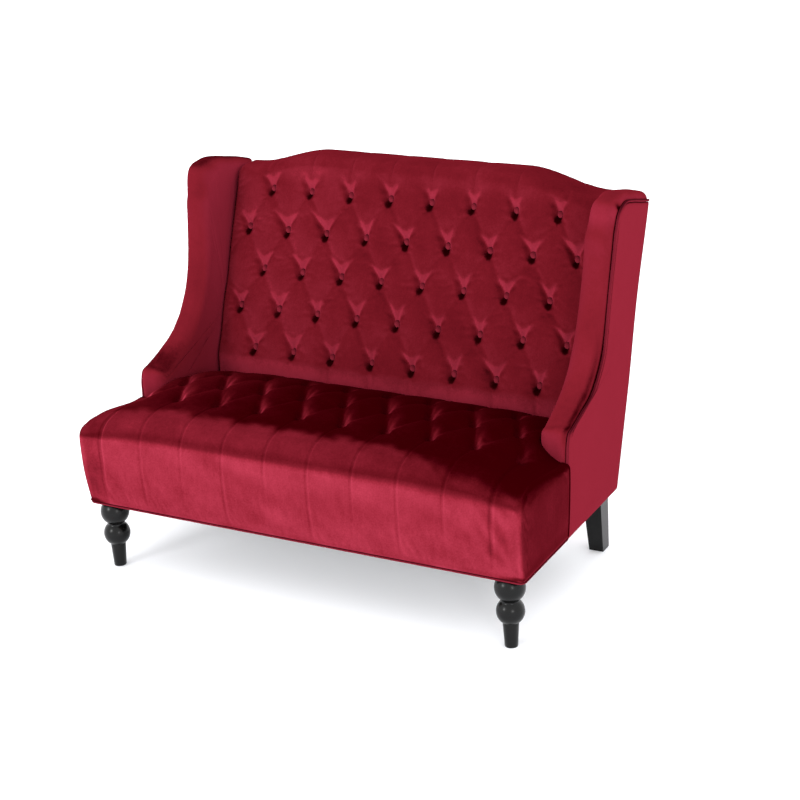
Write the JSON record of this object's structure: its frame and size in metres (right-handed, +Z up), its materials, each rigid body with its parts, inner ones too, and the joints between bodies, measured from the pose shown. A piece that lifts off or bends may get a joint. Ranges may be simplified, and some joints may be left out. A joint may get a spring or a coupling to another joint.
{
  "type": "high back settee",
  "caption": "Small two-seat settee with a tall camel back, swept wings, deep diamond tufting, a T-shaped sprung seat and turned front legs.",
  "frame": {"origin": "on the floor, under the middle of the overall box", "axes": "+Z up, +X to the left of a person sitting on it (the long way), the open front of the seat faces -Y"},
  "size_m": [1.2764, 0.8636, 0.9779],
  "materials": {
    "crimson_velvet": "short pile velvet, soft nap",
    "pine_frame": "bare sawn softwood",
    "black_lacquered_wood": "black semi-gloss lacquer",
    "elastic_webbing": "woven elastic",
    "lining_cloth": "thin spunbond cloth",
    "zinc_plated_steel": "zinc plated"
  },
  "bodies": {
    "root": {"back_buttons": "crimson_velvet", "back_left_post": "pine_frame", "back_lower_rail": "pine_frame", "back_pad": "crimson_velvet", "back_right_post": "pine_frame", "back_top_rail": "pine_frame", "back_webbing": "elastic_webbing", "corner_blocks": "pine_frame", "dust_cover": "lining_cloth", "front_left_leg": "black_lacquered_wood", "front_right_leg": "black_lacquered_wood", "left_outer_panel": "crimson_velvet", "left_wing_frame": "pine_frame", "left_wing_pad": "crimson_velvet", "left_wing_welt": "crimson_velvet", "leg_bolts": "zinc_plated_steel", "leg_plates": "zinc_plated_steel", "outside_back": "crimson_velvet", "rear_left_leg": "black_lacquered_wood", "rear_right_leg": "black_lacquered_wood", "right_outer_panel": "crimson_velvet", "right_wing_frame": "pine_frame", "right_wing_pad": "crimson_velvet", "right_wing_welt": "crimson_velvet", "seat_bottom_welt": "crimson_velvet", "seat_centre_rail": "pine_frame", "seat_cross_webbing": "elastic_webbing", "seat_deck_cloth": "lining_cloth", "seat_front_rail": "pine_frame", "seat_left_rail": "pine_frame", "seat_left_return": "pine_frame", "seat_pad": "crimson_velvet", "seat_rear_rail": "pine_frame", "seat_right_rail": "pine_frame", "seat_right_return": "pine_frame", "seat_webbing": "elastic_webbing", "wing_bolt_washers": "zinc_plated_steel", "wing_bolts": "zinc_plated_steel"}
  },
  "joints": []
}
